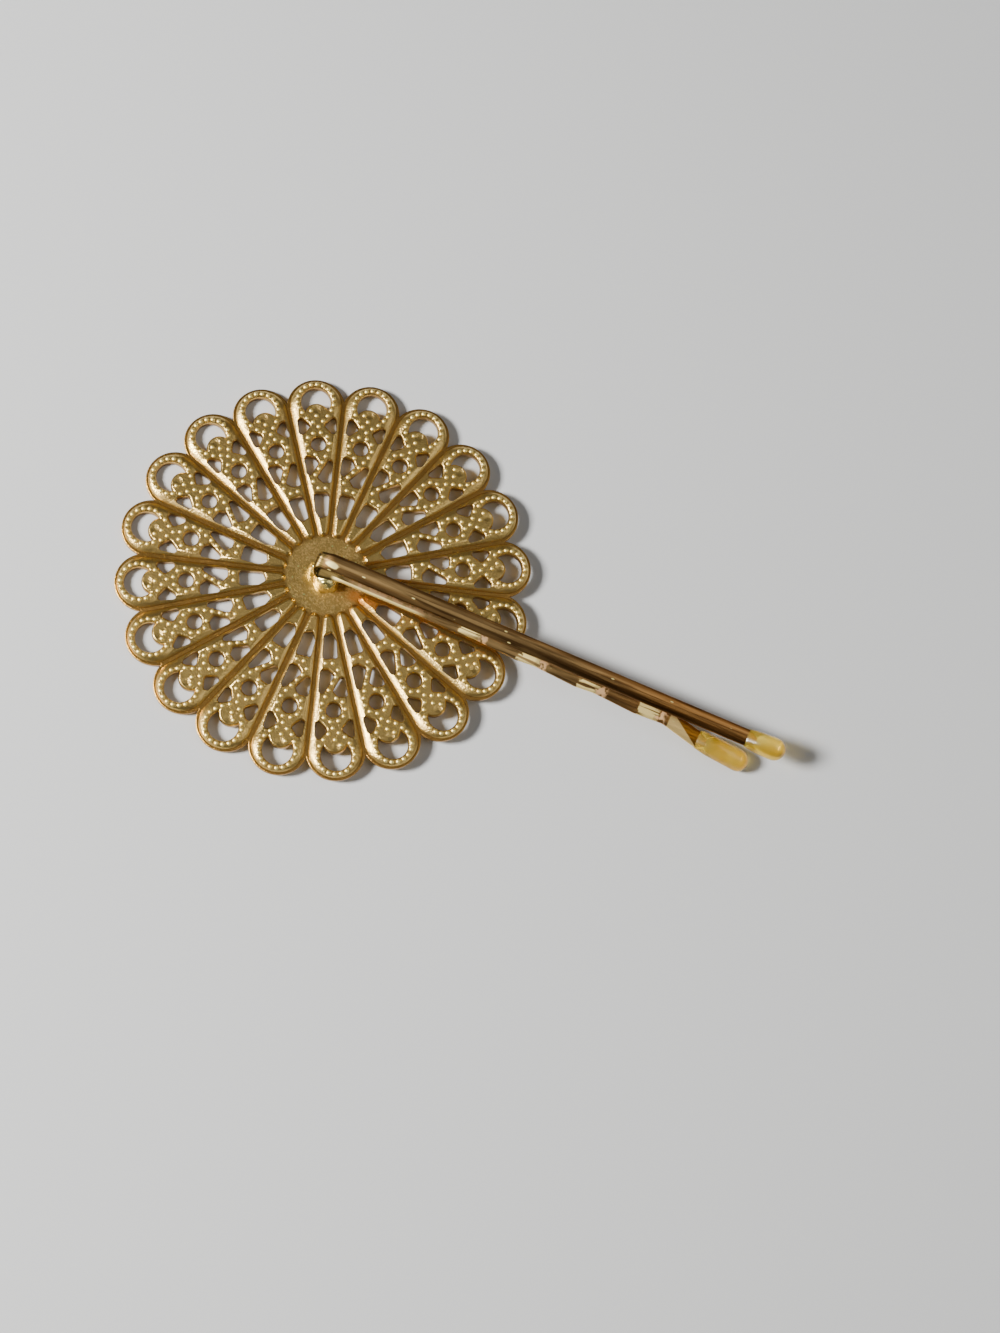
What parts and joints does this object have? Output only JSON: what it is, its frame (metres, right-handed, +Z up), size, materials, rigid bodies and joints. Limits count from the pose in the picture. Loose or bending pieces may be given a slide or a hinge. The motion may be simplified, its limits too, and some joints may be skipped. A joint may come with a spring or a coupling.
{
  "type": "hair grip with pierced filigree pad",
  "caption": "Sprung wire hair grip with resin-dipped tips, soldered by its bend to a round pierced and beaded metal pad with scalloped petals.",
  "frame": {"origin": "middle of the pad's flat front face, which is turned down as the thing lies", "axes": "+Z up as the thing lies on a table with the grip on top, +X along the grip from its bend to its tips, +Y to the left of that"},
  "size_m": [0.0708, 0.0418, 0.0049],
  "materials": {
    "gold_plated_metal": "satin antique gold plating",
    "resin": "gloss, translucent"
  },
  "bodies": {
    "root": {"pad_and_grip": "gold_plated_metal", "straight_tip": "resin", "crimped_tip": "resin"}
  },
  "joints": []
}
